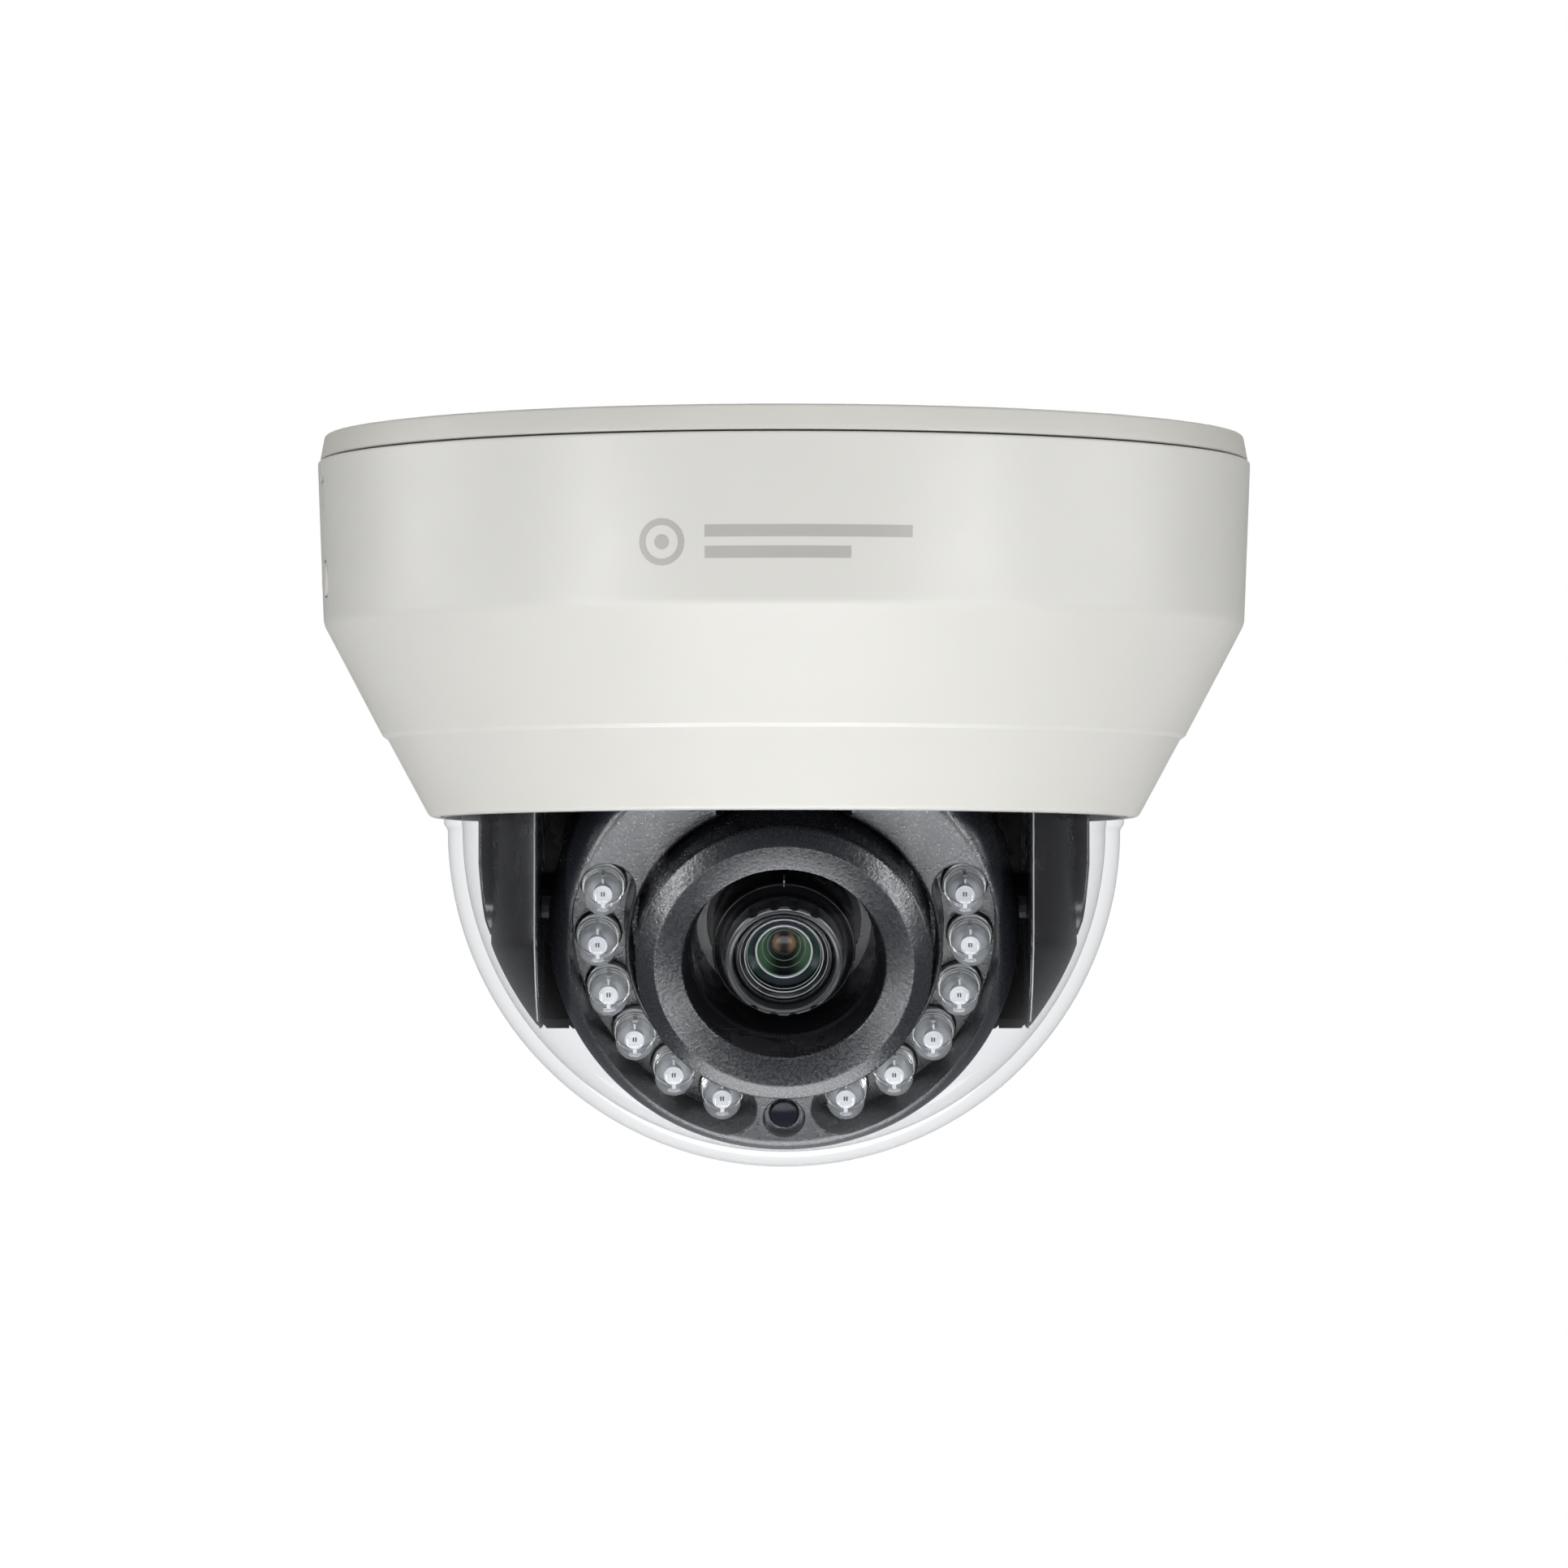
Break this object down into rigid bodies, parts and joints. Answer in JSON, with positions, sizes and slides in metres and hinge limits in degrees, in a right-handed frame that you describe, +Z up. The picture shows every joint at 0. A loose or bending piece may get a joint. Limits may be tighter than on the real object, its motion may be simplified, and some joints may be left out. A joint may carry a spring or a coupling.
{
  "type": "dome security camera",
  "caption": "Ceiling dome security camera: clear bubble over a panning, tilting eyeball with infrared LEDs and a varifocal lens, lift-off cover and release button.",
  "frame": {"origin": "centre of the face that lies on the ceiling", "axes": "+Z up, out of the ceiling face; the lens looks towards -Y, 23 degrees below the horizontal, at rest"},
  "size_m": [0.1204, 0.1204, 0.0941],
  "materials": {
    "white_plastic": "fine satin, warm white",
    "rim_plastic": "fine satin, warm grey white",
    "clear_polycarbonate": "clear, polished",
    "black_plastic": "moulded, fine spark-eroded grain",
    "grey_plastic": "moulded, plain",
    "rubber": "soft matt black",
    "steel": "zinc plated",
    "circuit_board": "green solder mask",
    "chip": "moulded epoxy",
    "header": "cream nylon",
    "led_epoxy": "clear epoxy",
    "sensor_epoxy": "dark blue epoxy",
    "coated_glass": "coated lens glass"
  },
  "bodies": {
    "base": {"base_plate": "rim_plastic", "cable_grommet": "rubber", "main_board": "circuit_board", "processor_chip": "chip", "pigtail_header": "header", "camera_header": "header", "main_board_screw_1": "steel", "main_board_screw_2": "steel", "main_board_screw_3": "steel", "pan_bracket": "grey_plastic", "pan_bracket_screw_1": "steel", "pan_bracket_screw_2": "steel", "pan_bracket_screw_3": "steel"},
    "pan": {"turntable": "grey_plastic", "pan_retainer_ring": "steel", "yoke_arm_right": "black_plastic", "yoke_arm_left": "black_plastic", "yoke_screw_right": "steel", "yoke_screw_left": "steel"},
    "tilt": {"front_bezel": "black_plastic", "rear_shell": "black_plastic", "led_board": "circuit_board", "led_01": "led_epoxy", "led_02": "led_epoxy", "led_03": "led_epoxy", "led_04": "led_epoxy", "led_05": "led_epoxy", "led_06": "led_epoxy", "led_07": "led_epoxy", "led_08": "led_epoxy", "led_09": "led_epoxy", "led_10": "led_epoxy", "led_11": "led_epoxy", "led_12": "led_epoxy", "light_sensor": "sensor_epoxy", "eyeball_screw_1": "steel", "eyeball_screw_2": "steel", "tilt_pivot_right": "steel", "tilt_pivot_left": "steel"},
    "lens_unit": {"lens_hood": "black_plastic", "lens_holder": "grey_plastic", "sensor_board": "circuit_board", "image_sensor": "chip", "sensor_board_screw_1": "steel", "sensor_board_screw_2": "steel", "lens_barrel": "black_plastic", "front_glass": "coated_glass", "rear_glass": "coated_glass"},
    "zoom": {"zoom_ring": "black_plastic"},
    "focus": {"focus_ring": "black_plastic"},
    "cover": {"cover_shell": "white_plastic", "dome_bubble": "clear_polycarbonate", "bubble_retainer": "black_plastic", "bubble_screw_1": "steel", "bubble_screw_2": "steel", "bubble_screw_3": "steel"},
    "button": {"release_button": "white_plastic"}
  },
  "joints": [
    {"name": "pan_turn", "type": "hinge", "parent": "base", "child": "pan", "pos_m": [0, 0, 0], "axis": [0, 0, 1], "range_deg": [-177, 177]},
    {"name": "tilt", "type": "hinge", "parent": "pan", "child": "tilt", "pos_m": [0, 0, -0.0592], "axis": [1, 0, 0], "range_deg": [0, 67]},
    {"name": "lens_rotate", "type": "hinge", "parent": "tilt", "child": "lens_unit", "pos_m": [0, 0, -0.0592], "axis": [0, -0.9205, -0.3907], "range_deg": [-177, 177]},
    {"name": "zoom_turn", "type": "hinge", "parent": "lens_unit", "child": "zoom", "pos_m": [0, 0, -0.0592], "axis": [0, -0.9205, -0.3907], "range_deg": [-45, 45]},
    {"name": "focus_turn", "type": "hinge", "parent": "lens_unit", "child": "focus", "pos_m": [0, 0, -0.0592], "axis": [0, -0.9205, -0.3907], "range_deg": [-60, 60]},
    {"name": "cover_off", "type": "slide", "parent": "base", "child": "cover", "axis": [0, 0, -1], "range_m": [0, 0.09]},
    {"name": "button_press", "type": "slide", "parent": "cover", "child": "button", "axis": [0.9833, 0.1822, 0], "range_m": [0, 0.0011], "stiffness_N_per_m": 800}
  ]
}
